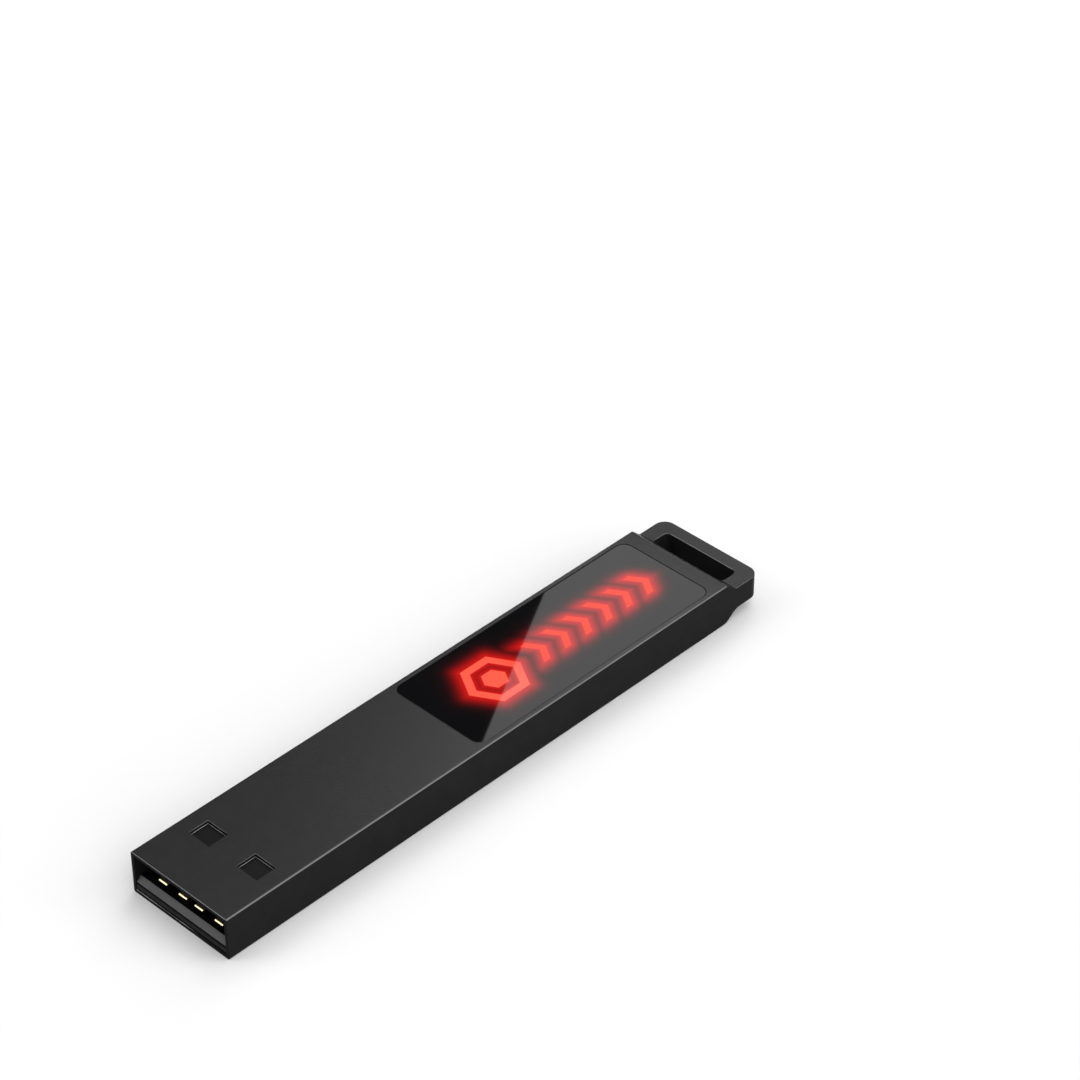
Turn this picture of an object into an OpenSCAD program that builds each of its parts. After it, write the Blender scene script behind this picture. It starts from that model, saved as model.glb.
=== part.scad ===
// Light-up USB flash drive: a flat metal bar whose whole end is the USB-A plug,
// with a backlit window on top and a lanyard slot in the stepped tail.
// Millimetres. +X runs from the plug's mouth to the tail, +Z is up, and the
// origin is the middle of the underside.

/* [Body] */
// Overall length, from the mouth to the tail
body_l = 65.8; // [63:0.1:90]
// Width of the body, which is also the plug's
body_w = 12; // [11:0.1:16]
// Height of the body, which is also the plug's
body_h = 4.5; // [4.4:0.1:6]
// Wall at the sides and underneath
wall = 0.35; // [0.25:0.05:0.5]
// Wall over the plug
top_wall = 0.6; // [0.55:0.01:0.7]
// Radius along the four long edges
edge_r = 0.18; // [0.05:0.01:0.3]

/* [Plug] */
// Free height over the contacts for the socket's tongue
plug_gap = 2.05; // [1.9:0.01:2.1]
// Size of each latch pocket, along and across the plug
latch_size = [2.1, 2.5]; // [1.5:0.1:3]
// From the mouth to the latch pockets
latch_x = 4.95; // [3:0.05:7]
// Distance between the centres of a pair of latch pockets
latch_pitch = 5.95; // [4:0.05:7]
// Depth of the pockets in the top
latch_depth = 0.35; // [0.1:0.01:0.45]
// Contact width
contact_w = 1; // [0.6:0.1:1.5]
// Contact length
contact_l = 8.2; // [5:0.1:10]
// From the mouth to the contacts
contact_x = 1.15; // [0.9:0.05:3]
// Contact thickness
contact_t = 0.1; // [0.05:0.01:0.2]
// Slope at the front of a contact
contact_lead = 0.1; // [0.05:0.01:0.2]

/* [Window] */
// Size of the window recess, along and across the body
window_size = [29.9, 10.94]; // [8:0.1:31]
// Radius of the recess's corners
window_r = 1.1; // [0.6:0.1:2]
// From the window to the start of the tail's step
window_margin = 1.4; // [1:0.1:4]
// Thickness of the lens
lens_t = 0.66; // [0.4:0.01:0.9]
// How far the lens sits below the top face
lens_sink = 0.04; // [0:0.01:0.3]
// Width of the ledge that carries the window
ledge_w = 0.7; // [0.5:0.05:1.2]
// Thickness of that ledge
ledge_t = 0.4; // [0.3:0.05:0.6]

/* [Tail] */
// Length of the tail, step included
tail_l = 4.8; // [4.6:0.1:9]
// Underside and top of the tail above the base
tail_z = [1.12, 3.5]; // [0.5:0.01:4]
// Radius of the tail's two corners
tail_r = 1.2; // [0.5:0.1:3]
// Radius under the tail's end
tail_end_r = 0.6; // [0.2:0.1:1]
// Size of the lanyard slot, along and across the body
slot_size = [2.15, 8.7]; // [1.5:0.05:10]
// Radius of the slot's corners
slot_r = 0.6; // [0.3:0.1:1]
// Metal left behind the slot
slot_rim = 1.4; // [0.8:0.1:3]

/* [Memory module] */
// Length of the module
module_l = 24.2; // [18:0.1:26]
// Thickness of the module
module_t = 1.05; // [0.95:0.05:1.1]
// Thickness of its circuit board
substrate_t = 0.25; // [0.2:0.05:0.3]
// Number of flash dies in the stack
die_count = 4; // [1:1:6]

/* [Light] */
// Number of lamps under the window
led_count = 4; // [2:1:6]
// Thickness of the lamp board
board_t = 0.5; // [0.4:0.1:0.8]
// Thickness of the plate over the lamps
diffuser_t = 1.1; // [0.6:0.1:1.4]
// Across the hexagon of the emblem
emblem_w = 6.4; // [5:0.1:7]
// Number of chevrons in the emblem
chevron_count = 6; // [3:1:6]

/* [Hidden] */
$fn = 48;
eps = 0.01;
fit_gap = 0.05;   // between pieces that slide together
lens_gap = 0.04;  // round the lens in its recess
light_gap = 0.1;  // round the diffuser in its opening
tape_t = 0.05;
film_t = 0.1;
glue_t = 0.1;
bar_l = 0.65;     // front bar of the carrier
bar_chamfer = 0.5;
bar_groove = 0.16; // groove under that slope, and slope under the bar
board_drop = 0.25; // top of the lamp board below the module's
stop_l = 0.8;     // rib behind the module
end_l = 0.7;      // end wall of the carrier
foam_l = 0.6;
rim_lead = [0.4, 0.25]; // slope inside the top of the mouth
contact_y = [-3.5, -1, 1, 3.5];
step_top = [0, 1.6];    // where the top step starts and ends, from the tail's start
step_under = [-0.3, 2]; // the same for the underside's step
wire_r = 0.22;
wire_y = 1.2;
lamp_size = [1.6, 0.8, 0.5];
lamp_base_t = 0.2;
chip_size = [1, 0.5, 0.35]; // small resistors and capacitors
chip_place = [2, 3.2];   // first one, from the module's front and from the middle line
chip_pitch = 1.6;
chip_row_count = 4;
die_room = [10.65, 3];   // left free in front of the dies and behind them
die_w = 7.5;
die_t = 0.12;
die_step = 0.35;
control_size = [2.9, 2.6, 0.2];
control_place = [4.5, -1.5];
test_pad_r = 0.3;
test_pad_y = [-4.4, -3.4, 3.4, 4.4];
test_pad_count = 8;      // in each row
test_pad_room = 3.6;     // from the contacts to the first and from the last to the module's end
wire_start = 1.3;        // from the module's end to the wire's
wire_end = 1;            // from the lamp board's end to the wire's
emblem_start = 7.4;    // from the window's front end to the hexagon's middle
emblem_margin = 2.55;  // from the last chevron to the window's rear end
chevron_gap = 1.5;     // between the hexagon and the first chevron
chevron_w = 0.75;      // stroke, along the body
chevron_h = 3.1;
chevron_lean = 1;
pad_t = 0.05;
pad_size = [1, 1.4];
solder_r = 0.48;

mouth_x = -body_l / 2;
tail_x = body_l / 2 - tail_l;
inner_w = body_w - 2 * wall;
ceiling_z = body_h - top_wall;
contact_z = ceiling_z - plug_gap - contact_t;
module_z = contact_z - module_t;
module_x = mouth_x + fit_gap + bar_l + fit_gap;
module_w = inner_w - 4 * fit_gap;
module_end = module_x + module_l;
die_l = module_l - die_room[0] - die_room[1] - (die_count - 1) * die_step;
test_pad_x = mouth_x + contact_x + contact_l + test_pad_room;
test_pad_pitch = (module_end - test_pad_room - test_pad_x) / (test_pad_count - 1);
carrier_z = wall + fit_gap;
carrier_w = inner_w - 2 * fit_gap;
window_x = tail_x - window_margin - window_size[0] / 2;
light_size = [window_size[0] - 2 * ledge_w, window_size[1] - 2 * ledge_w];
lens_z = body_h - lens_sink - lens_t;
film_z = lens_z - film_t;
ledge_top = film_z - glue_t;
ledge_z = ledge_top - ledge_t;
cavity_end = window_x + window_size[0] / 2 + 0.5;
board_top = contact_z - board_drop;
board_z = board_top - board_t;
seat_z = board_z - tape_t;
board_size = [light_size[0] - 2 * light_gap, light_size[1] - 2 * light_gap];
board_start = window_x - board_size[0] / 2;
carrier_end = cavity_end - foam_l;
slot_x = body_l / 2 - slot_rim - slot_size[0] / 2;
emblem_x = window_x - window_size[0] / 2 + emblem_start;
chevron_x = emblem_x + emblem_w / 2 + chevron_gap;
chevron_end = window_x + window_size[0] / 2 - emblem_margin;
chevron_pitch = (chevron_end - chevron_w - chevron_lean - chevron_x) / (chevron_count - 1);

// A rectangle with round corners, centred.
module round_rect(size, r) {
    square([size[0] - 2 * r, size[1]], center = true);
    square([size[0], size[1] - 2 * r], center = true);
    for (x = [-1, 1], y = [-1, 1])
        translate([x * (size[0] / 2 - r), y * (size[1] / 2 - r)]) circle(r);
}

// A plate of that outline between two heights.
module round_plate(size, r, z0, z1) {
    translate([0, 0, z0]) linear_extrude(z1 - z0) round_rect(size, r);
}

// A box from one x to another, centred across the body.
module block(x0, x1, width, z0, z1) {
    translate([x0, -width / 2, z0]) cube([x1 - x0, width, z1 - z0]);
}

// Points of a smooth step between two places on the side view.
function step_curve(a, b, n = 12) =
    [for (i = [0 : n]) [a[0] + (b[0] - a[0]) * i / n,
                        a[1] + (b[1] - a[1]) * (1 - cos(180 * i / n)) / 2]];

// Quarter turn under the end of the tail.
function end_curve(n = 6) =
    [for (i = [0 : n]) [body_l / 2 - tail_end_r + tail_end_r * sin(90 * i / n),
                        tail_z[0] + tail_end_r * (1 - cos(90 * i / n))]];

// Side view of the body and its tail.
module side_view() {
    polygon(concat(
        [[mouth_x, 0]],
        step_curve([tail_x + step_under[0], 0], [tail_x + step_under[1], tail_z[0]]),
        end_curve(),
        [[body_l / 2, tail_z[1]]],
        step_curve([tail_x + step_top[1], tail_z[1]], [tail_x + step_top[0], body_h]),
        [[mouth_x, body_h]]));
}

// Plan of the body: square at the mouth, round at the tail's corners.
module plan_view() {
    translate([mouth_x, -body_w / 2]) square([body_l - tail_r, body_w]);
    translate([mouth_x, tail_r - body_w / 2]) square([body_l, body_w - 2 * tail_r]);
    for (y = [-1, 1])
        translate([body_l / 2 - tail_r, y * (body_w / 2 - tail_r)]) circle(tail_r);
}

module outer_shape() {
    intersection() {
        rotate([90, 0, 0]) linear_extrude(body_w + 2, center = true) side_view();
        translate([0, 0, -1]) linear_extrude(body_h + 2) plan_view();
        translate([0, 0, body_h / 2]) rotate([0, 90, 0])
            linear_extrude(body_l + 2, center = true) round_rect([body_h, body_w], edge_r);
    }
}

// Two latch pockets side by side between two heights.
module latch_pair(z0, z1) {
    for (y = [-1, 1])
        translate([mouth_x + latch_x, y * latch_pitch / 2 - latch_size[1] / 2, z0])
            cube([latch_size[0], latch_size[1], z1 - z0]);
}

module housing() {
    color("#2b2b2d") difference() {
        outer_shape();
        block(mouth_x - 1, module_end + stop_l, inner_w, wall, ceiling_z);
        block(mouth_x, cavity_end, inner_w, wall, ledge_z);
        rotate([90, 0, 0]) linear_extrude(inner_w, center = true)
            polygon([[mouth_x - 1, ceiling_z - 1], [mouth_x + rim_lead[0], ceiling_z - 1],
                     [mouth_x + rim_lead[0], ceiling_z], [mouth_x, ceiling_z + rim_lead[1]],
                     [mouth_x - 1, ceiling_z + rim_lead[1]]]);
        translate([window_x, 0]) {
            round_plate(window_size, window_r, ledge_top, body_h + 1);
            round_plate(light_size, window_r - ledge_w + 0.2, ledge_z - 1, ledge_top + 1);
        }
        translate([slot_x, 0]) round_plate(slot_size, slot_r, -1, body_h + 1);
        latch_pair(body_h - latch_depth, body_h + 1);
        latch_pair(-1, wall + eps);
    }
}

module window_lens() {
    color("#0c0c0e") translate([window_x, 0])
        round_plate([window_size[0] - 2 * lens_gap, window_size[1] - 2 * lens_gap],
                    window_r - lens_gap, lens_z, body_h - lens_sink);
}

// Hexagon ring with a solid heart, and a row of chevrons.
module emblem() {
    translate([emblem_x, 0]) {
        difference() {
            circle(emblem_w / 2, $fn = 6);
            circle(emblem_w * 0.36, $fn = 6);
        }
        circle(emblem_w * 0.2, $fn = 6);
    }
    for (i = [0 : chevron_count - 1])
        translate([chevron_x + i * chevron_pitch, 0])
            polygon([[0, -chevron_h / 2], [chevron_w, -chevron_h / 2], [chevron_w + chevron_lean, 0],
                     [chevron_w, chevron_h / 2], [0, chevron_h / 2], [chevron_lean, 0]]);
}

module emblem_ink() {
    color("#ff3a2a") translate([0, 0, film_z]) linear_extrude(film_t) emblem();
}

module mask_film() {
    color("#080808") difference() {
        translate([window_x, 0])
            round_plate([window_size[0] - 4 * lens_gap, window_size[1] - 4 * lens_gap],
                        window_r - 2 * lens_gap, film_z, lens_z);
        translate([0, 0, film_z - 1]) linear_extrude(film_t + 2) emblem();
    }
}

module window_adhesive() {
    color("#3a3a3c") translate([window_x, 0]) difference() {
        round_plate([window_size[0] - 4 * lens_gap, window_size[1] - 4 * lens_gap],
                    window_r - 2 * lens_gap, ledge_top, film_z);
        round_plate(light_size, window_r - ledge_w + 0.2, ledge_top - 1, film_z + 1);
    }
}

// White plate on a skirt that stands on the lamp board.
module diffuser() {
    color("#f4f0ee") translate([window_x, 0]) difference() {
        round_plate(board_size, 0.4, board_top, film_z);
        translate([0, 0, board_top - 1])
            linear_extrude(film_z - diffuser_t - board_top + 1)
                square([board_size[0] - 1.4, board_size[1] - 1.4], center = true);
        block(-board_size[0] / 2 - 1, -board_size[0] / 2 + 1, 2 * wire_y + 2 * pad_size[1],
              board_top - 1, film_z - diffuser_t);
    }
}

module led_board() {
    color("#e8e8e0") translate([window_x, 0])
        round_plate(board_size, 0.4, board_z, board_top);
}

module board_tape() {
    color("#c8b890") translate([window_x, 0])
        round_plate([board_size[0] - 2, board_size[1] - 2], 0.4, seat_z, board_z);
}

// Places of the lamps, evenly along the board.
module each_lamp() {
    room = board_size[0] - 8;
    for (i = [0 : led_count - 1])
        translate([window_x + 1.2 + room * ((i + 0.5) / led_count - 0.5), 0, board_top])
            children();
}

module led_bases() {
    color("#f0f0f0") each_lamp()
        block(-lamp_size[0] / 2, lamp_size[0] / 2, lamp_size[1], 0, lamp_base_t);
}

module led_lenses() {
    color("#ff5040") each_lamp()
        block(-lamp_size[0] / 3, lamp_size[0] / 3, lamp_size[1], lamp_base_t, lamp_size[2]);
}

module led_resistors() {
    color("#303030") for (y = [-1, 1])
        translate([window_x, y * board_size[1] / 4, board_top])
            block(-chip_size[0] / 2, chip_size[0] / 2, chip_size[1], 0, chip_size[2]);
}

module board_pads() {
    color("#d8b060") for (y = [-1, 1])
        translate([board_start + 0.4, y * wire_y, board_top])
            block(0, pad_size[0], pad_size[1], 0, pad_t);
}

// One short wire from the module's rear edge, over the rib and down to the lamp board.
module lamp_wire(y) {
    start = [module_end - wire_start, y, contact_z + pad_t + wire_r + fit_gap];
    run = [board_start + wire_end, y, board_top + pad_t + wire_r] - start;
    translate(start) rotate([0, acos(run[2] / norm(run)), 0]) cylinder(r = wire_r, h = norm(run));
}

module wire_supply() { color("#c02020") lamp_wire(wire_y); }

module wire_return() { color("#202020") lamp_wire(-wire_y); }

// A dome on a pad, with the wire's end inside it.
module solder_dome(x, y, z) {
    difference() {
        intersection() {
            translate([x, y, z]) sphere(solder_r);
            translate([x - 1, y - 1, z]) cube(2);
        }
        lamp_wire(y);
    }
}

module solder_joints() {
    color("#b8b8bc") for (y = [-wire_y, wire_y]) {
        solder_dome(module_end - wire_start, y, contact_z + pad_t);
        solder_dome(board_start + wire_end, y, board_top + pad_t);
    }
}

module memory_substrate() {
    color("#101412") block(module_x, module_end, module_w, contact_z - substrate_t, contact_z);
}

// What the mould wraps: the dies hang under the board.
module dies() {
    for (i = [0 : die_count - 1])
        translate([module_end - die_room[1] - die_l - i * die_step, 0,
                   contact_z - substrate_t - (i + 1) * die_t])
            block(0, die_l, die_w, 0, die_t);
}

module control_chip() {
    translate([module_x + control_place[0], control_place[1],
               contact_z - substrate_t - control_size[2]])
        block(0, control_size[0], control_size[1], 0, control_size[2]);
}

module chip_row() {
    for (i = [0 : chip_row_count - 1])
        translate([module_x + chip_place[0] + i * chip_pitch, chip_place[1],
                   contact_z - substrate_t - chip_size[2]])
            block(0, chip_size[0], chip_size[1], 0, chip_size[2]);
}

module memory_mold() {
    color("#1c1c1e") difference() {
        block(module_x, module_end, module_w, module_z, contact_z - substrate_t);
        dies();
        control_chip();
        chip_row();
    }
}

module controller_die() { color("#60646c") control_chip(); }

module flash_dies() { color("#787c88") dies(); }

module module_capacitors() { color("#b09070") chip_row(); }

module usb_contacts() {
    color("#e0b850") for (y = contact_y)
        translate([mouth_x + contact_x, y + contact_w / 2, contact_z]) rotate([90, 0, 0])
            linear_extrude(contact_w)
                polygon([[0, 0], [contact_l, 0], [contact_l, contact_t], [contact_lead, contact_t]]);
}

module service_pads() {
    color("#d8b060") {
        for (y = [-wire_y, wire_y])
            translate([module_end - wire_start - pad_size[0] / 2, y, contact_z])
                block(0, pad_size[0], pad_size[1], 0, pad_t);
        for (i = [0 : test_pad_count - 1], y = test_pad_y)
            translate([test_pad_x + i * test_pad_pitch, y, contact_z])
                cylinder(r = test_pad_r, h = pad_t);
    }
}

module module_tape() {
    color("#c8b890")
        block(module_x + 1, module_end - 1, module_w - 2, module_z - tape_t, module_z);
}

// Front bar with the lead-in slope and a groove under it.
module front_bar() {
    x0 = mouth_x + fit_gap;
    top = contact_z;
    translate([0, carrier_w / 2, 0]) rotate([90, 0, 0]) linear_extrude(carrier_w)
        polygon([[x0 + bar_groove, carrier_z], [x0 + bar_l, carrier_z], [x0 + bar_l, top],
                 [x0 + bar_chamfer, top], [x0, top - bar_chamfer],
                 [x0 + bar_groove, top - bar_chamfer - bar_groove / 2],
                 [x0 + bar_groove, top - bar_chamfer - bar_groove],
                 [x0, top - bar_chamfer - bar_groove * 1.5],
                 [x0, carrier_z + bar_groove]]);
}

module carrier() {
    rail_w = (carrier_w - light_size[1]) / 2;
    color("#3c3c3e") {
        front_bar();
        block(mouth_x + fit_gap + bar_l - eps, module_end + stop_l, carrier_w, carrier_z,
              module_z - tape_t);
        block(module_end + fit_gap, module_end + stop_l, carrier_w, carrier_z, contact_z - 0.3);
        block(module_end + fit_gap, carrier_end, carrier_w, carrier_z, seat_z);
        block(carrier_end - end_l, carrier_end, carrier_w, carrier_z, board_top + 0.6);
        for (y = [-1, 1]) translate([0, y * (carrier_w - rail_w) / 2, 0])
            block(module_end + fit_gap, carrier_end, rail_w, carrier_z, board_top + 0.6);
    }
}

module rear_foam() {
    color("#505058") block(carrier_end, cavity_end, inner_w - 0.6, carrier_z, board_top);
}

housing();
window_lens();
emblem_ink();
mask_film();
window_adhesive();
diffuser();
led_board();
board_tape();
led_bases();
led_lenses();
led_resistors();
board_pads();
wire_supply();
wire_return();
solder_joints();
memory_substrate();
memory_mold();
controller_die();
flash_dies();
module_capacitors();
usb_contacts();
service_pads();
module_tape();
carrier();
rear_foam();
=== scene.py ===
# Light-up USB flash drive: looks, light and camera round the fixed frame.

import math
import bpy
from mathutils import Matrix, Vector


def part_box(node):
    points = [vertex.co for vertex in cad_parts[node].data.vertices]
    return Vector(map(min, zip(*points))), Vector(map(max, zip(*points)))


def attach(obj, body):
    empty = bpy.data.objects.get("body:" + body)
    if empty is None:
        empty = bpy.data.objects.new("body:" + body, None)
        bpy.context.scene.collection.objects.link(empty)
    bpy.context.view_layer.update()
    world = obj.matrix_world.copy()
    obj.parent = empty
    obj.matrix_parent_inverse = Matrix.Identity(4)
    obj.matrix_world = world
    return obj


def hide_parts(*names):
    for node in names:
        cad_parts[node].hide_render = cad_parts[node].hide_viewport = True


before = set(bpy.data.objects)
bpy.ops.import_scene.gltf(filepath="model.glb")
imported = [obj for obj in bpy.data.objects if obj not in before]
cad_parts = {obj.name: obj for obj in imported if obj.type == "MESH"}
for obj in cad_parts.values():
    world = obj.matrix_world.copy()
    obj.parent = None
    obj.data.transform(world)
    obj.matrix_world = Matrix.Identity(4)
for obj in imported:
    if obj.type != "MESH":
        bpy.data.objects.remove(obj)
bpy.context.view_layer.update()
mm = 0.001
print("frame loaded")

# camera: stands off the mouth's near corner and looks down the length
view = {
    "place": (-0.1627, -0.1688, 0.2012),
    "right": (0.6970, -0.7171, -0.0037), "up": (0.4374, 0.4210, 0.7946),
    "lens": 116.1, "sensor": 36,
    "clip": (0.01, 20),
}


def linked(name, data):
    o = bpy.data.objects.new(name, data)
    bpy.context.scene.collection.objects.link(o)
    return o


def makeCamera(s):
    data = bpy.data.cameras.new("camera")
    data.lens = s["lens"]
    data.sensor_width = s["sensor"]
    data.clip_start, data.clip_end = s["clip"]
    cam = linked("camera", data)
    right = Vector(s["right"]).normalized()
    up = Vector(s["up"]).normalized()
    turn = Matrix((right, up, right.cross(up))).transposed()
    cam.matrix_world = Matrix.Translation(s["place"]) @ turn.to_4x4()
    bpy.context.scene.camera = cam


makeCamera(view)
print("camera placed")


# shader maths: a Wire holds one socket, and an expression on wires becomes nodes
class Wire:
    def __init__(self, mat, socket):
        self.mat = mat
        self.socket = socket

    def math(self, op, *values):
        return addNode(self.mat, "ShaderNodeMath", {"operation": op}, dict(enumerate(values)))

    def __add__(self, o): return self.math("ADD", self, o)
    def __radd__(self, o): return self.math("ADD", o, self)
    def __sub__(self, o): return self.math("SUBTRACT", self, o)
    def __rsub__(self, o): return self.math("SUBTRACT", o, self)
    def __mul__(self, o): return self.math("MULTIPLY", self, o)
    def __rmul__(self, o): return self.math("MULTIPLY", o, self)
    def __truediv__(self, o): return self.math("DIVIDE", self, o)
    def __pow__(self, o): return self.math("POWER", self, o)
    def __neg__(self): return self.math("MULTIPLY", self, -1.0)
    def __abs__(self): return self.math("ABSOLUTE", self)
    def floor(self): return self.math("FLOOR", self)
    def exp(self): return self.math("EXPONENT", self)
    def low(self, o): return self.math("MINIMUM", self, o)
    def high(self, o): return self.math("MAXIMUM", self, o)
    def clip(self): return self.high(0.0).low(1.0)

    def ramp(self, a, b, lo=0.0, hi=1.0):  # smooth step from lo at a to hi at b
        return addNode(self.mat, "ShaderNodeMapRange", {"interpolation_type": "SMOOTHSTEP"},
                       {"Value": self, "From Min": a, "From Max": b, "To Min": lo, "To Max": hi})

    def fall(self, a, b):  # 1 up to a, 0 from b
        return self.ramp(a, b, 1.0, 0.0)

    def within(self, a, b, soft):  # 1 between a and b, fading over soft inside both ends
        return (self - a).ramp(0.0, soft) * (b - self).ramp(0.0, soft)


def plug(mat, socket, value):
    if isinstance(value, Wire):
        mat.node_tree.links.new(value.socket, socket)
    elif isinstance(value, (tuple, list)) and len(socket.default_value) == 4 and len(value) == 3:
        socket.default_value = (*value, 1.0)
    else:
        socket.default_value = value


def addNode(mat, kind, setup, sockets, out=0):  # sockets by name, or by number where names repeat
    n = mat.node_tree.nodes.new(kind)
    for key, value in setup.items():
        setattr(n, key, value)
    for key, value in sockets.items():
        plug(mat, n.inputs[key], value)
    return Wire(mat, n.outputs[out])


def mixColor(mat, factor, a, b):
    return addNode(mat, "ShaderNodeMix", {"data_type": "RGBA"}, {0: factor, 6: a, 7: b}, 2)


def newMaterial(name):
    mat = bpy.data.materials.new(name)
    mat.use_nodes = True
    return mat


def principled(mat):
    return next(n for n in mat.node_tree.nodes if n.type == "BSDF_PRINCIPLED")


def shader(mat, sockets):
    for key, value in sockets.items():
        plug(mat, principled(mat).inputs[key], value)


def fedBy(mat, key):  # what already drives a socket of the shader
    return Wire(mat, principled(mat).inputs[key].links[0].from_socket)


def split(mat, vector):
    n = addNode(mat, "ShaderNodeSeparateXYZ", {}, {"Vector": vector}).socket.node
    return [Wire(mat, out) for out in n.outputs]


def coords(mat):  # Object coordinates, in metres
    return addNode(mat, "ShaderNodeTexCoord", {}, {}, "Object")


def pointInMm(mat):
    return [p / mm for p in split(mat, coords(mat))]


def normal(mat):
    return split(mat, addNode(mat, "ShaderNodeNewGeometry", {}, {}, "Normal"))


def noise(mat, scale, detail, rough=0.5):
    return addNode(mat, "ShaderNodeTexNoise", {}, {"Vector": coords(mat), "Scale": scale,
                                                   "Detail": detail, "Roughness": rough})


# what a finish has unless its own dictionary says otherwise; depth of the relief in mm
usual = {
    "roughSpread": 0.1, "relief": 0.2, "depth": 0.01, "metal": 0.0, "specular": 0.5,
    "coarser": 12, "broadPart": 0.6, "mottle": (0.3, 0.7),
}


# recipe for paint, plastic, board and metal: two colours mottled by noise, fine grain in relief
def grained(name, look):
    s = {**usual, **look}
    mat = newMaterial(name)
    fine = noise(mat, s["grain"], 2.0)
    broad = noise(mat, s["grain"] / s["coarser"], 3.0)
    mottle = (broad * s["broadPart"] + fine * (1 - s["broadPart"])).ramp(*s["mottle"])
    relief = addNode(mat, "ShaderNodeBump", {}, {"Height": fine, "Strength": s["relief"],
                                                 "Distance": s["depth"] * mm})
    shader(mat, {
        "Base Color": mixColor(mat, mottle, s["color"], s["color2"]),
        "Roughness": s["rough"] + (broad - 0.5) * s["roughSpread"],
        "Normal": relief, "Metallic": s["metal"], "Specular IOR Level": s["specular"],
    })
    return mat


def paint(o, mat):
    o.data.materials.clear()
    o.data.materials.append(mat)


def deselectAll():
    if bpy.context.object and bpy.context.object.mode != "OBJECT":
        bpy.ops.object.mode_set(mode="OBJECT")
    bpy.ops.object.select_all(action="DESELECT")


def pickOne(o):
    deselectAll()
    o.select_set(True)
    bpy.context.view_layer.objects.active = o


def pickEdges(o, wanted):  # leaves o in edit mode with those edges selected
    bpy.ops.object.mode_set(mode="EDIT")
    bpy.ops.mesh.select_mode(type="EDGE")
    bpy.ops.mesh.select_all(action="DESELECT")
    bpy.ops.object.mode_set(mode="OBJECT")
    for e in o.data.edges:
        e.select = wanted(*(o.data.vertices[i].co for i in e.vertices))
    bpy.ops.object.mode_set(mode="EDIT")


def breakEdges(o, s):
    pickOne(o)
    b = o.modifiers.new("edges", "BEVEL")
    b.width = s["edge"] * mm
    b.segments = s["steps"]
    b.limit_method = "ANGLE"
    b.angle_limit = math.radians(s["angle"])
    bpy.ops.object.shade_smooth_by_angle(angle=math.radians(s["smooth"]))
    even = o.modifiers.new("normals", "WEIGHTED_NORMAL")   # flats stay flat beside broken edges
    even.keep_sharp = s["keepSharp"]
    even.thresh = 0
    for m in list(o.modifiers):
        bpy.ops.object.modifier_apply(modifier=m.name)


# a CAD node's own outline with its doubles merged, flats dissolved and edges broken
def eased(node, name, s):
    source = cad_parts[node]
    o = source.copy()
    o.data = source.data.copy()
    o.name = name
    o.parent = None
    for key in list(o.keys()):
        if key.startswith("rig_"):
            del o[key]
    bpy.context.scene.collection.objects.link(o)
    pickOne(o)
    bpy.ops.object.mode_set(mode="EDIT")
    bpy.ops.mesh.select_all(action="SELECT")
    bpy.ops.mesh.remove_doubles(threshold=s["merge"] * mm)
    bpy.ops.mesh.dissolve_limited(angle_limit=math.radians(s["flat"]))
    bpy.ops.mesh.customdata_custom_splitnormals_clear()
    bpy.ops.object.mode_set(mode="OBJECT")
    breakEdges(o, s)
    return o


def finish(o, node, mat):  # o stands for the CAD node, in that finish
    paint(o, mat)
    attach(o, "root")
    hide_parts(node)


housingLow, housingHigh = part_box("housing")
lensLow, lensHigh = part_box("window_lens")
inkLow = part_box("emblem_ink")[0]

# housing: fine matte black coat on metal. Lengths and heights are in mm; edgeUp, edgeFlat, edgeTurn,
# nearSide, flatTop and rimFront are parts of the normal between which a mask fades
housing = {
    "merge": 0.002, "flat": 0.5, "edge": 0.07, "steps": 2, "angle": 32, "smooth": 28,
    "keepSharp": True,
    "color": (0.0085, 0.0085, 0.0087), "color2": (0.0105, 0.0105, 0.0107),
    "rough": 0.32, "roughSpread": 0.05, "grain": 9000, "relief": 0.25, "depth": 0.012,
    "specular": 0.01,
    "sheen": (0.64, 1.0), "sheenRough": 0.22, "sheenIor": 1.38, "sideSheen": 0.07,
    "tailDull": 0.45, "tailFade": (6, 3), "speck": (0.9, 0.2), "flatTop": (0.3, 0.9),
    "rimFront": (0.3, 0.65),
    # colours of the painted edge highlights
    "highlightColor": (0.15, 0.15, 0.153), "nearHighlightColor": (0.085, 0.085, 0.087),
    "strongHighlightColor": (0.36, 0.36, 0.37), "lipHeight": (0.5, 0.7),
    "edgeUp": (0.25, 0.5), "edgeFlat": (0.88, 0.97), "edgeTurn": (0.05, 0.3), "nearSide": (0.2, 0.5),
    "windowRim": 0.2, "rimSoft": 0.05,
    "pocketX": (4.9, 7.1), "pocketY": (1.65, 4.3), "pocketZ": (3.9, 4.3), "pocketSoft": 0.1,
    # the pocket floor colour below is painted shade
    "pocketShadeColor": (0.0052, 0.0052, 0.0053), "pocketRough": 0.4, "pocketDull": 0.6,
}


def paintPocketShade(mat, s):  # painted shade: the floors of the two latch pockets are painted darker, and their coat is rougher
    x, y, z = pointInMm(mat)
    inside = ((x - housingLow.x / mm).within(*s["pocketX"], s["pocketSoft"])
              * abs(y).within(*s["pocketY"], s["pocketSoft"])
              * z.within(*s["pocketZ"], s["pocketSoft"]))
    shader(mat, {
        "Base Color": mixColor(mat, inside, fedBy(mat, "Base Color"), s["pocketShadeColor"]),
        "Roughness": fedBy(mat, "Roughness") + inside * s["pocketRough"],
    })
    return inside


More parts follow.
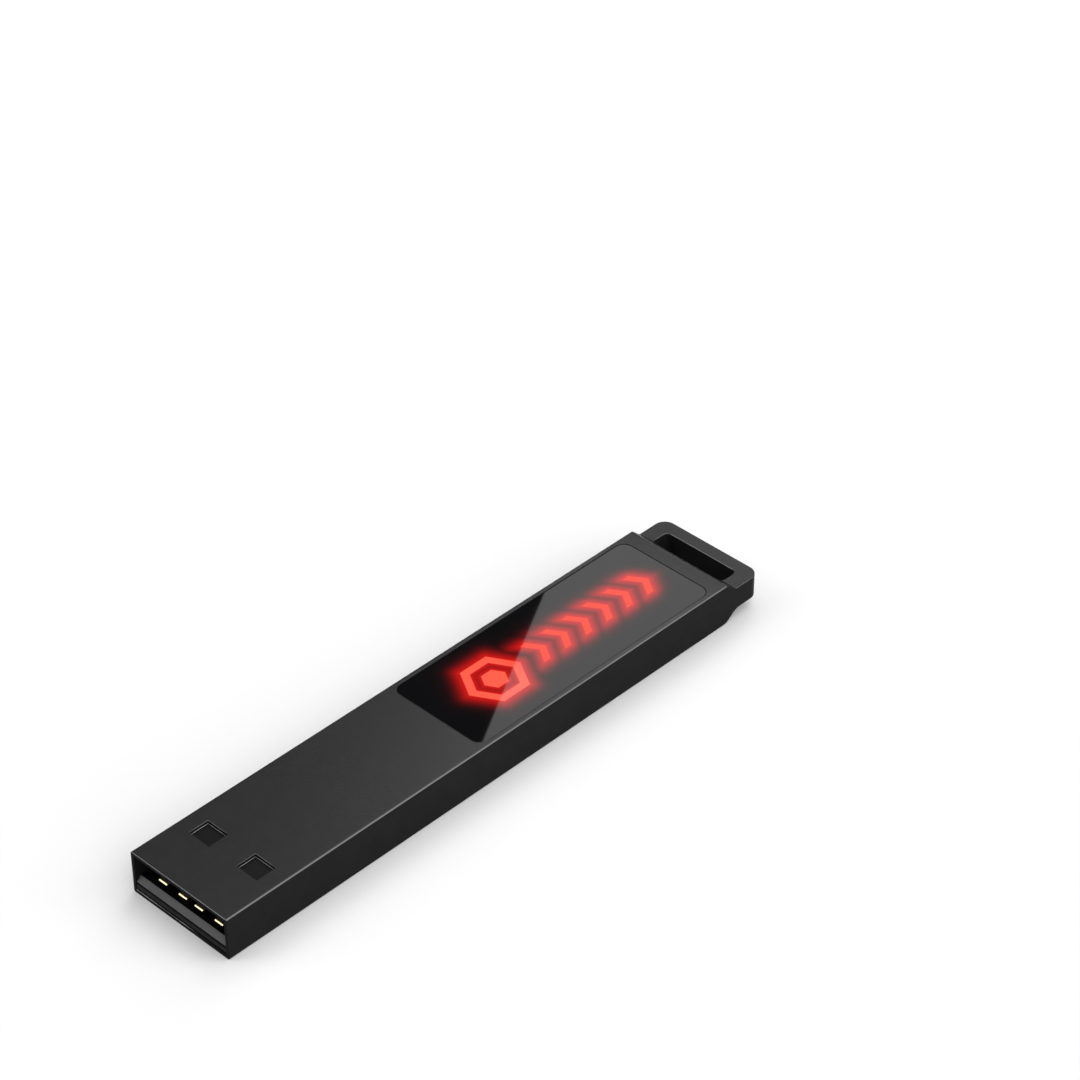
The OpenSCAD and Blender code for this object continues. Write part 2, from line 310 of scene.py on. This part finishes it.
def paintEdgeHighlights(mat, s, pocket):  # painted highlights: the upper edges and lips that face the camera are painted brighter and metallic
    nx, ny, nz = normal(mat)
    x, y, z = pointInMm(mat)
    rim = s["windowRim"]
    inWindow = (x.within(lensLow.x / mm - rim, lensHigh.x / mm + rim, s["rimSoft"])
                * (lensHigh.y / mm + rim - abs(y)).ramp(0.0, s["rimSoft"]))
    edgeHighlight = (nz.ramp(*s["edgeUp"]) * nz.fall(*s["edgeFlat"])
              * nx.fall(*s["edgeTurn"]) * ny.fall(*s["edgeTurn"]) * (1 - inWindow))
    strongHighlight = pocket.high(z.fall(*s["lipHeight"]))      # the painted highlight is strongest in the pockets and on the mouth's lower lip
    # the painted highlight is dimmer on edges that face the near side
    highlightTint = mixColor(mat, (-ny).ramp(*s["nearSide"]), s["highlightColor"], s["nearHighlightColor"])
    highlightTint = mixColor(mat, strongHighlight, highlightTint, s["strongHighlightColor"])
    shader(mat, {
        "Base Color": mixColor(mat, edgeHighlight, fedBy(mat, "Base Color"), highlightTint),
        "Metallic": edgeHighlight,
    })
    return edgeHighlight


# painted sheen: the coat's gloss is fullest on the flat top and grows toward the window, is dulled on
# the tail, less down the sides and least on the mouth's rim, so that the top reads lighter and the
# sides and rim darker
def paintCoatSheen(mat, s, pocket, edgeHighlight):
    nx, _, nz = normal(mat)
    x = pointInMm(mat)[0]
    tail = x.ramp(lensHigh.x / mm - s["tailFade"][0], housingHigh.x / mm - s["tailFade"][1])
    along = x.ramp(housingLow.x / mm, lensLow.x / mm, *s["sheen"]) - tail * s["tailDull"]
    flat = abs(nz).ramp(*s["flatTop"])
    front = (-nx).ramp(*s["rimFront"])
    paintedSheen = flat * along + (1 - flat) * (1 - front) * s["sideSheen"]
    speck = noise(mat, s["grain"] / 3, 2.0) * s["speck"][1] + s["speck"][0]
    shader(mat, {
        "Coat Weight": paintedSheen.clip() * speck * (1 - edgeHighlight) * (1 - pocket * s["pocketDull"]),
        "Coat Roughness": s["sheenRough"], "Coat IOR": s["sheenIor"],
    })


coat = grained("blackCoat", housing)
pocketFloor = paintPocketShade(coat, housing)
paintCoatSheen(coat, housing, pocketFloor, paintEdgeHighlights(coat, housing, pocketFloor))
shell = eased("housing", "housingShell", housing)
finish(shell, "housing", coat)
print("housing done", len(shell.data.polygons), "faces")

# window: glossy black, the emblem shines through it with a soft halo. Lengths in mm
window = {
    "corner": 1.04, "cornerSteps": 12,
    "edge": 0.03, "steps": 3, "angle": 50, "smooth": 40, "keepSharp": False,
    "color": (0.0022, 0.0022, 0.0025), "color2": (0.0035, 0.0035, 0.004),
    "rough": 0.012, "smudge": 0.008, "smudgeGrain": 160, "specular": 0.3,
    "core": (1.0, 0.117, 0.069), "coreFar": (1.0, 0.034, 0.002), "coreTurn": (1.5, 4.5),
    "coreEdge": (-0.04, 0.05), "halo": (0.85, 0.008, 0.006),
    "haloReach": 0.85, "haloPower": 0.8, "haloTail": 1.8, "litFace": (0.9, 0.98),
}
# lit shape in mm: a hexagon with a heart, then a row of chevrons
emblem = {
    "hex": 3.2, "ringIn": 0.72, "heart": 0.4, "gap": 1.5, "pitch": 2.7, "count": 6,
    "half": 1.55, "lean": 1.0, "stroke": 0.75,
}
flatRatio = 0.866      # from a hexagon's middle to its flat, for a corner at 1


def makeLens(s):
    size = lensHigh - lensLow
    deselectAll()
    bpy.ops.mesh.primitive_cube_add(size=1, location=(lensLow + lensHigh) / 2)
    o = bpy.context.object
    o.name = "windowGlass"
    o.scale = size
    bpy.ops.object.transform_apply(location=True, rotation=True, scale=True)
    pickEdges(o, lambda a, b: abs(a.z - b.z) > size.z / 2)      # the four upright ones
    bpy.ops.mesh.bevel(offset=s["corner"] * mm, segments=s["cornerSteps"], affect="EDGES")
    bpy.ops.object.mode_set(mode="OBJECT")
    breakEdges(o, s)
    return o


def emblemDistance(x, y, s):  # mm outside the lit shape; x and y from the hexagon's centre
    ay = abs(y)
    flat = s["hex"] * flatRatio
    hexagon = (abs(x) * flatRatio + ay * 0.5).high(ay)              # flats up and down
    radius = (x * x + y * y) ** 0.5
    outer = (hexagon - flat).high(radius - s["hex"])      # so that the halo is round at the corners
    ring = outer.high(flat * s["ringIn"] - hexagon)
    heart = hexagon - flat * s["heart"]
    along = x - (s["hex"] + s["gap"])
    start = s["lean"] * (1 - ay / s["half"]) + s["stroke"] / 2      # the stroke's middle at this height
    turn = ((along - start) / s["pitch"] + 0.5).floor().high(0.0).low(s["count"] - 1.0)
    slant = 1 / math.hypot(1, s["lean"] / s["half"])
    bar = (abs(along - turn * s["pitch"] - start) - s["stroke"] / 2) * slant
    end = ay - s["half"]
    chevron = (bar.high(0.0) ** 2 + end.high(0.0) ** 2) ** 0.5 + bar.high(end).low(0.0)
    return ring.low(heart).low(chevron)


def lensMaterial(s):
    mat = newMaterial("blackWindow")
    x, y = pointInMm(mat)[:2]
    x = x - (inkLow.x / mm + emblem["hex"])
    d = emblemDistance(x, y, emblem)
    reach = d.high(0.0) / s["haloReach"]
    fade = (-(reach * reach)).exp() * 0.5 + (reach * -s["haloTail"]).exp() * 0.5
    glow = mixColor(mat, (fade * s["haloPower"]).clip(), (0, 0, 0), s["halo"])
    lit = mixColor(mat, x.ramp(*s["coreTurn"]), s["core"], s["coreFar"])     # deeper red down the row
    light = mixColor(mat, d.fall(*s["coreEdge"]), glow, lit)
    top = normal(mat)[2].ramp(*s["litFace"])
    smudge = noise(mat, s["smudgeGrain"], 4.0, 0.6)
    shader(mat, {
        "Base Color": mixColor(mat, smudge, s["color"], s["color2"]),
        "Roughness": s["rough"] + smudge * s["smudge"],
        "Specular IOR Level": s["specular"],
        "Emission Color": mixColor(mat, top, (0, 0, 0), light),
        "Emission Strength": 1.0,
    })
    return mat


finish(makeLens(window), "window_lens", lensMaterial(window))
print("window done")

# carrier: dark plastic tray, with a painted highlight on its lead-in slope and painted shade on its
# front band, groove, foot gap and top faces. slopeFace and topFace are parts of the normal, the rest of
# the pairs are heights in mm between which one tone fades into the next
carrier = {
    "merge": 0.002, "flat": 0.5, "edge": 0.03, "steps": 2, "angle": 30, "smooth": 30,
    "keepSharp": True,
    "color": (0.086, 0.086, 0.087), "color2": (0.100, 0.100, 0.101),
    "rough": 0.5, "grain": 5000, "relief": 0.3, "depth": 0.01, "specular": 0.08,
    # band and groove colours are painted shade
    "bandShade": (0.010, 0.010, 0.0103), "groove": (0.001, 0.001, 0.001),
    "slopeFace": (0.35, 0.6), "topFace": (0.9, 0.97),
    "slopeFoot": (1.22, 1.26), "bandTop": (0.96, 1.02), "bandFoot": (0.5, 0.62),
}


def carrierMaterial(s):
    mat = grained("carrierPlastic", s)
    nx, _, nz = normal(mat)
    height = pointInMm(mat)[2]
    slope = (-nx).ramp(*s["slopeFace"]) * nz.ramp(*s["slopeFace"])     # lead-in slope, kept in the pale plastic colour as a painted highlight
    overBand = height.ramp(*s["bandTop"]).high(height.fall(*s["bandFoot"]))
    shade = overBand * height.fall(*s["slopeFoot"]).high(nz.ramp(*s["topFace"]))
    # painted shade: the band under the slope, the groove, the foot gap and the top faces are painted
    # dark
    shadeTint = mixColor(mat, shade, s["bandShade"], s["groove"])
    litSlope = slope * height.ramp(*s["slopeFoot"])
    shader(mat, {"Base Color": mixColor(mat, litSlope, shadeTint, fedBy(mat, "Base Color"))})
    return mat


finish(eased("carrier", "carrierTray", carrier), "carrier", carrierMaterial(carrier))

# contacts: gold plate
contact = {
    "merge": 0.001, "flat": 0.5, "edge": 0.008, "steps": 1, "angle": 20, "smooth": 30,
    "keepSharp": True,
    "color": (0.74, 0.64, 0.42), "color2": (0.68, 0.57, 0.36),
    "rough": 0.36, "grain": 6000, "relief": 0.1, "depth": 0.004, "metal": 1.0,
}
gold = grained("goldPlate", contact)
finish(eased("usb_contacts", "plugContacts", contact), "usb_contacts", gold)
print("plug done")


def look(color, color2, rough, grain, **more):
    return {"color": color, "color2": color2, "rough": rough, "grain": grain, **more}


# inside pieces keep their shapes
tape = look((0.55, 0.45, 0.28), (0.48, 0.38, 0.22), 0.6, 3000)
looks = {
    "memory_substrate": look((0.0012, 0.0015, 0.0013), (0.002, 0.0023, 0.0021), 0.5, 3000,
                             specular=0.1),
    "memory_mold": look((0.012, 0.012, 0.013), (0.017, 0.017, 0.018), 0.65, 8000, relief=0.4),
    "controller_die": look((0.18, 0.19, 0.22), (0.22, 0.22, 0.26), 0.15, 2000, metal=0.6),
    "flash_dies": look((0.20, 0.20, 0.24), (0.25, 0.24, 0.28), 0.15, 2000, metal=0.6),
    "module_capacitors": look((0.35, 0.22, 0.12), (0.28, 0.17, 0.10), 0.4, 4000),
    "led_board": look((0.80, 0.80, 0.76), (0.74, 0.74, 0.70), 0.35, 2500),
    "board_tape": tape,
    "module_tape": tape,
    "led_bases": look((0.85, 0.85, 0.83), (0.80, 0.80, 0.78), 0.4, 4000),
    "led_resistors": look((0.015, 0.015, 0.016), (0.022, 0.022, 0.022), 0.35, 6000),
    "wire_supply": look((0.45, 0.012, 0.010), (0.38, 0.010, 0.008), 0.4, 5000),
    "wire_return": look((0.012, 0.012, 0.012), (0.018, 0.018, 0.018), 0.4, 5000),
    "solder_joints": look((0.62, 0.62, 0.64), (0.52, 0.52, 0.54), 0.3, 3000, metal=1.0),
    "mask_film": look((0.004, 0.004, 0.004), (0.007, 0.007, 0.007), 0.6, 4000),
    "window_adhesive": look((0.05, 0.05, 0.055), (0.035, 0.035, 0.04), 0.7, 4000),
    "diffuser": look((0.86, 0.84, 0.82), (0.82, 0.80, 0.78), 0.5, 2500),
    "rear_foam": look((0.05, 0.05, 0.055), (0.03, 0.03, 0.035), 0.9, 2500, relief=1.0, depth=0.05),
}
for node, s in looks.items():
    paint(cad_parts[node], grained(node + "Look", s))
for node in ("board_pads", "service_pads"):
    paint(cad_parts[node], gold)

# lit pieces: body colour and the light they give
glowing = {
    "emblem_ink": ("emblemFilm", (0.9, 0.09, 0.05), window["core"]),
    "led_lenses": ("lampResin", (0.9, 0.2, 0.15), (1.0, 0.06, 0.02)),
}
for node, (name, color, light) in glowing.items():
    resin = grained(name, look(color, tuple(c * 0.85 for c in color), 0.3, 3000))
    shader(resin, {"Emission Color": light, "Emission Strength": 1.0})
    paint(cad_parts[node], resin)
print("inside pieces dressed")

# floor and surroundings
studio = {
    "floor": 3.0, "color": (0.62, 0.62, 0.62), "rough": 0.9, "specular": 0.1,
    "world": (1, 1, 1, 1), "strength": 0.02, "transform": "Standard",
}


def makeStudio(s):
    deselectAll()
    bpy.ops.mesh.primitive_plane_add(size=s["floor"], location=(0, 0, 0))
    floor = bpy.context.object
    floor.name = "floor"
    mat = newMaterial("paleFloor")
    shader(mat, {"Base Color": s["color"], "Roughness": s["rough"],
                 "Specular IOR Level": s["specular"]})
    floor.data.materials.append(mat)
    world = bpy.data.worlds.new("studio")
    world.use_nodes = True
    back = world.node_tree.nodes["Background"]
    back.inputs["Color"].default_value = s["world"]
    back.inputs["Strength"].default_value = s["strength"]
    bpy.context.scene.world = world
    bpy.context.scene.view_settings.view_transform = s["transform"]


makeStudio(studio)

# the card that the window mirrors: its edge crosses the window from a to b, in mm
card = {"far": 0.5, "a": (-2.6, -5.26), "b": (16.2, 5.47), "size": (0.5, 0.36), "power": 1.2}
suns = {      # where each comes from, its angle in degrees, its strength
    "sky": ((0.1, 0.3, 1.0), 60, 1.2),
    "fill": ((0.1, -0.8, 0.75), 90, 3.6),      # softens the shadow on the near side
}
panels = {      # place, size, power
    "leftBack": ((-0.67, 0.61, 0.62), (0.6, 0.8), 4.5),      # lights lips that face the mouth
    "rightFront": ((0.62, -0.67, 0.61), (0.6, 0.6), 1.4),      # lights the near long edge
}


def panelLight(name, size, power):
    data = bpy.data.lights.new(name, "AREA")
    data.shape = "RECTANGLE"
    data.size, data.size_y = size
    data.energy = power
    return linked(name, data)


def aimHome(o, place):  # stands at place and shines at the origin
    o.location = place
    o.rotation_euler = (-Vector(place)).to_track_quat("-Z", "Y").to_euler()


def mirroredCard(s):
    top = lensHigh.z
    eye = Vector(view["place"])
    eye.z = 2 * top - eye.z      # the camera's mirror image below the window
    a, b = (Vector((*(c * mm for c in s[end]), top)) for end in ("a", "b"))
    middle = (a + b) / 2
    out = (middle - eye).normalized()
    centre = middle + out * s["far"]

    def hit(p):      # where the line from the eye through p meets the card
        ray = (p - eye).normalized()
        return eye + ray * ((centre - eye).dot(out) / ray.dot(out))

    onA, onB = hit(a), hit(b)
    away = (onB - onA).normalized().cross(out).normalized()
    inside = middle + Vector((1, -1, 0)) * 10 * mm      # on the side of the edge that shines
    if away.dot(hit(inside) - onA) < 0:
        away = -away
    place = (onA + onB) / 2 + away * s["size"][1] / 2
    turn = Matrix((away.cross(out), away, out)).transposed()      # a light shines along its -Z
    panelLight("card", s["size"], s["power"]).matrix_world = Matrix.Translation(place) @ turn.to_4x4()


mirroredCard(card)
for name, (place, angle, strength) in suns.items():
    data = bpy.data.lights.new(name, "SUN")
    data.angle = math.radians(angle)
    data.energy = strength
    aimHome(linked(name, data), place)
for name, (place, size, power) in panels.items():
    aimHome(panelLight(name, size, power), place)
print("floor and light set")
